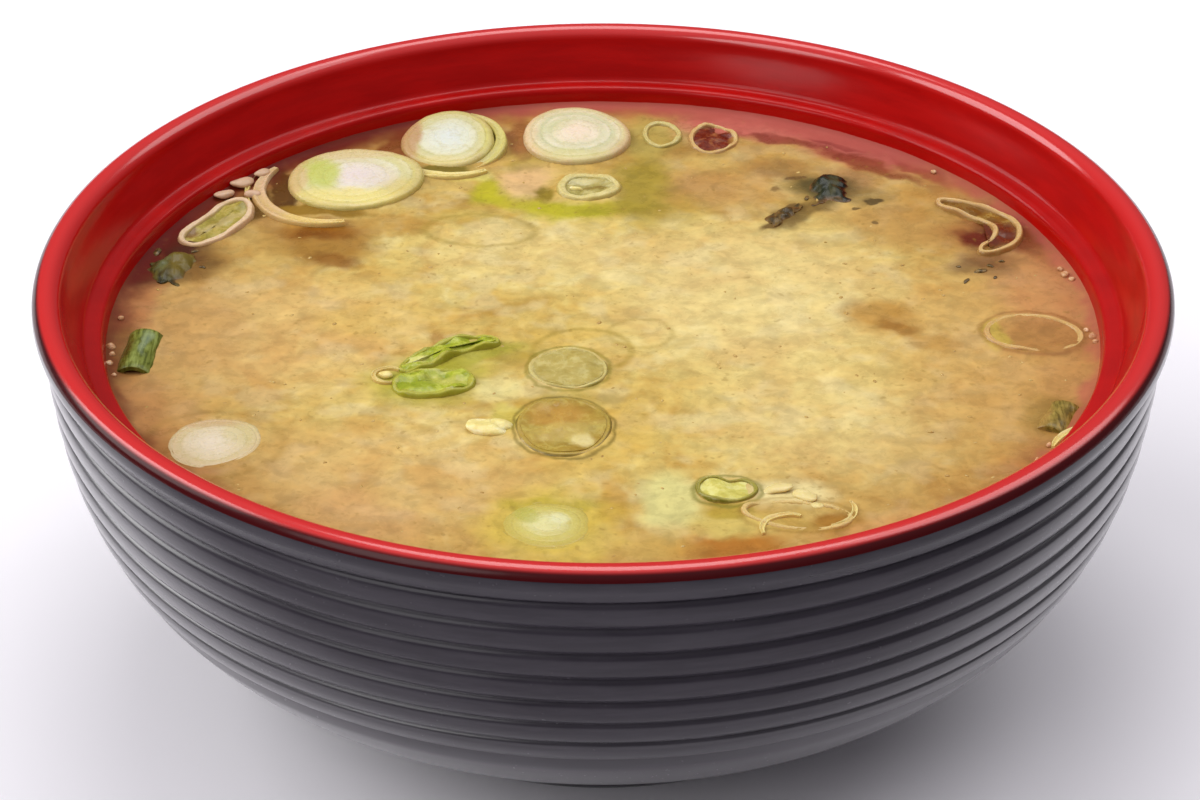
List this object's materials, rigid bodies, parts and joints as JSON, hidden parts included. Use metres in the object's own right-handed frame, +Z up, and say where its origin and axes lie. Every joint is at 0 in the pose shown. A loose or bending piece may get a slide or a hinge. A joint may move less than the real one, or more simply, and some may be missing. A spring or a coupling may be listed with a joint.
{
  "type": "miso soup",
  "caption": "Miso soup in a ribbed black lacquered bowl with a red lining, with sliced spring onion and wakame seaweed floating in it.",
  "frame": {"origin": "centre of the foot's lower edge, on the plane that the bowl stands on", "axes": "+Z up along the bowl's own axis; the bowl is seen from -Y, and +X is to the viewer's right"},
  "size_m": [0.12, 0.12, 0.046],
  "materials": {
    "lacquer": "satin black outside with fine ribs, glossy red inside and on the lip",
    "miso": "wet, cloudy golden beige with fine mottling",
    "white_onion": "wet, translucent white",
    "pale_onion": "wet, translucent pale yellow-green",
    "green_onion": "wet, bright leaf green",
    "seaweed": "wet, very dark green"
  },
  "bodies": {
    "root": {"bowl": "lacquer", "soup": "miso", "slice_rear_left": "white_onion", "slice_rear": "white_onion", "slice_rear_middle": "white_onion", "slice_front_left": "white_onion", "slice_front": "pale_onion", "curl_rear_left": "pale_onion", "ring_rear_small": "pale_onion", "ring_left": "pale_onion", "ring_middle": "pale_onion", "ring_front_right": "pale_onion", "ring_right": "pale_onion", "ring_rear_right": "pale_onion", "ring_rear_inner": "pale_onion", "ring_rear_outer": "pale_onion", "ring_middle_front": "green_onion", "ring_front_folded": "green_onion", "green_tube_left": "green_onion", "green_tube_right": "green_onion", "green_curl_middle": "green_onion", "wakame_rear": "seaweed", "wakame_rear_strand": "seaweed", "wakame_left": "seaweed"}
  },
  "joints": []
}
